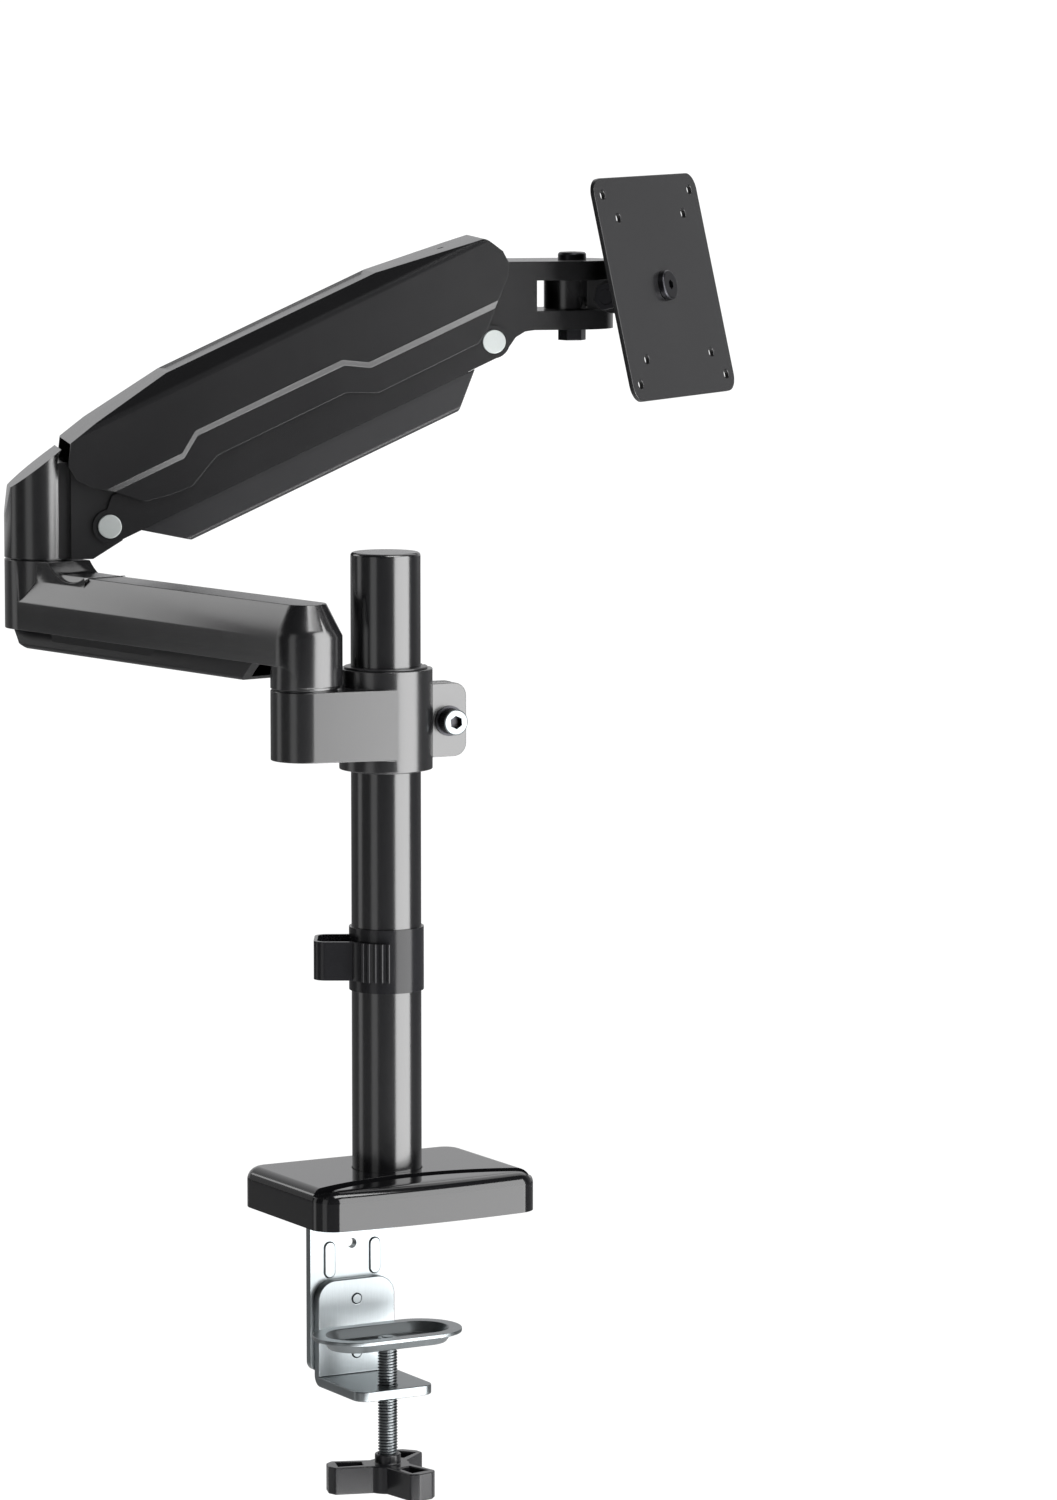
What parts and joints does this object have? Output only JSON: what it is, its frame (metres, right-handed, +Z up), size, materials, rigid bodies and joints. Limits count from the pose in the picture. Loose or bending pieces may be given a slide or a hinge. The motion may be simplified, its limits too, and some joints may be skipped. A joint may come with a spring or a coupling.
{
  "type": "monitor arm",
  "caption": "Desk-clamped monitor arm: pole, sliding pinch clamp, swinging lower arm, gas-sprung parallel upper arm and a tilting square screen plate.",
  "frame": {"origin": "on the desk top under the pole's axis, where the foot pad rests", "axes": "+Z up the pole, X along the long edge of the base, -Y towards the person at the desk"},
  "size_m": [0.3714, 0.3103, 0.6579],
  "materials": {
    "gloss_black_plastic": "glossy black moulded ABS",
    "matte_black_plastic": "satin black moulded plastic",
    "black_coated_steel": "semi-gloss black powder coat on steel",
    "black_coated_cast": "semi-gloss black coat on cast aluminium",
    "zinc_plate": "bright zinc plating",
    "black_oxide": "black oxide steel",
    "satin_steel": "satin nickel pin caps",
    "foot_pad": "black EVA foam pad",
    "bearing_plastic": "black acetal bearing"
  },
  "bodies": {
    "desk_mount": {"base_cover": "gloss_black_plastic", "desk_pad": "foot_pad", "base_plate": "black_coated_steel", "clamp_upright": "zinc_plate", "clamp_jaw": "zinc_plate", "pole": "black_coated_steel", "pole_foot": "black_coated_steel", "pole_bolt": "zinc_plate", "pole_cap": "matte_black_plastic", "plate_screw_1": "zinc_plate", "plate_screw_2": "zinc_plate", "plate_screw_3": "zinc_plate", "plate_screw_4": "zinc_plate", "jaw_screw_1": "zinc_plate", "jaw_screw_2": "zinc_plate"},
    "cable_clip": {"cable_clip": "matte_black_plastic"},
    "press_plate": {"press_plate": "zinc_plate"},
    "clamp_screw": {"clamp_rod": "zinc_plate", "press_rivet": "zinc_plate", "clamp_knob": "matte_black_plastic"},
    "height_sleeve": {"pole_liner": "bearing_plastic"},
    "pole_clamp": {"pole_clamp": "black_coated_cast", "clamp_bolt": "satin_steel", "clamp_nut": "black_oxide", "shoulder_bushing": "bearing_plastic"},
    "lower_arm": {"lower_arm": "black_coated_cast", "lower_cable_cover": "matte_black_plastic", "shoulder_shaft": "satin_steel", "shoulder_washer": "black_oxide", "shoulder_nut": "black_oxide", "elbow_bushing": "bearing_plastic"},
    "elbow_yoke": {"elbow_yoke": "black_coated_cast", "yoke_screw": "black_oxide", "elbow_shaft": "satin_steel", "elbow_washer": "black_oxide", "elbow_nut": "black_oxide", "spring_anchor": "satin_steel"},
    "lower_link": {"lower_link": "black_coated_steel", "rear_lower_pin": "satin_steel", "front_lower_pin": "satin_steel", "link_cable_cover": "matte_black_plastic"},
    "upper_link": {"upper_link": "black_coated_steel", "upper_cover": "black_coated_steel", "rear_upper_pin_near": "satin_steel", "rear_upper_pin_far": "satin_steel", "front_upper_pin": "satin_steel", "spring_pin": "satin_steel"},
    "gas_cylinder": {"gas_cylinder": "black_coated_steel"},
    "gas_rod": {"gas_rod": "satin_steel"},
    "head_bracket": {"head_bracket": "black_coated_cast", "swivel_nut": "black_oxide"},
    "pan_knuckle": {"pan_knuckle": "black_coated_cast", "swivel_bolt": "black_oxide"},
    "tilt_head": {"tilt_bracket": "black_coated_steel", "tilt_bolt": "black_oxide", "tilt_nut": "black_oxide", "turn_washer": "bearing_plastic", "turn_bolt": "black_oxide"},
    "vesa_plate": {"vesa_plate": "black_coated_steel"}
  },
  "joints": [
    {"name": "clip_height", "type": "slide", "parent": "desk_mount", "child": "cable_clip", "axis": [0, 0, 1], "range_m": [-0.085, 0.07]},
    {"name": "press_lift", "type": "slide", "parent": "desk_mount", "child": "press_plate", "axis": [0, 0, 1], "range_m": [-0.019, 0.026]},
    {"name": "knob_turn", "type": "hinge", "parent": "press_plate", "child": "clamp_screw", "pos_m": [0, 0, -0.1], "axis": [0, 0, 1], "range_deg": [-4620, 6300]},
    {"name": "arm_height", "type": "slide", "parent": "desk_mount", "child": "height_sleeve", "axis": [0, 0, 1], "range_m": [-0.07, 0.05]},
    {"name": "clamp_turn", "type": "hinge", "parent": "height_sleeve", "child": "pole_clamp", "pos_m": [0, 0, 0.2475], "axis": [0, 0, 1], "range_deg": [-180, 180]},
    {"name": "shoulder_turn", "type": "hinge", "parent": "pole_clamp", "child": "lower_arm", "pos_m": [-0.04337, 0.00341, 0.265], "axis": [0, 0, 1], "range_deg": [-37, 190]},
    {"name": "elbow_turn", "type": "hinge", "parent": "lower_arm", "child": "elbow_yoke", "pos_m": [-0.0781, 0.23583, 0.314], "axis": [0, 0, 1], "range_deg": [-20, 235]},
    {"name": "arm_lift", "type": "hinge", "parent": "elbow_yoke", "child": "lower_link", "pos_m": [-0.04652, 0.22465, 0.332], "axis": [-0.3338, -0.9426, 0], "range_deg": [-50, 20]},
    {"name": "upper_link_lift", "type": "hinge", "parent": "elbow_yoke", "child": "upper_link", "pos_m": [-0.05312, 0.22699, 0.363], "axis": [-0.3338, -0.9426, 0], "range_deg": [-51, 21]},
    {"name": "head_level", "type": "hinge", "parent": "lower_link", "child": "head_bracket", "pos_m": [0.145, 0.15683, 0.42631], "axis": [-0.3338, -0.9426, 0], "range_deg": [-21, 51]},
    {"name": "gas_swing", "type": "hinge", "parent": "upper_link", "child": "gas_cylinder", "pos_m": [0.07672, 0.18101, 0.42253], "axis": [-0.3338, -0.9426, 0], "range_deg": [-8, 8]},
    {"name": "gas_stroke", "type": "slide", "parent": "gas_cylinder", "child": "gas_rod", "axis": [-0.8314, 0.2944, -0.4712], "range_m": [-0.03, 0.03]},
    {"name": "head_pan", "type": "hinge", "parent": "head_bracket", "child": "pan_knuckle", "pos_m": [0.18838, 0.14146, 0.45], "axis": [0, 0, 1], "range_deg": [-52, 128]},
    {"name": "head_tilt", "type": "hinge", "parent": "pan_knuckle", "child": "tilt_head", "pos_m": [0.20558, 0.11448, 0.45], "axis": [-0.8434, -0.5373, 0], "range_deg": [-43, 37]},
    {"name": "screen_turn", "type": "hinge", "parent": "tilt_head", "child": "vesa_plate", "pos_m": [0.21814, 0.09475, 0.4554], "axis": [0.5235, -0.8218, 0.225], "range_deg": [-90, 90]}
  ],
  "couplings": [
    {"joint": "knob_turn", "follows": "press_lift", "rad_per_m": 4188.8},
    {"joint": "upper_link_lift", "follows": "arm_lift", "ratio": 1},
    {"joint": "head_level", "follows": "arm_lift", "ratio": -1},
    {"joint": "gas_swing", "follows": "arm_lift", "ratio": -0.054387},
    {"joint": "gas_stroke", "follows": "arm_lift", "m_per_rad": 0.015113}
  ]
}
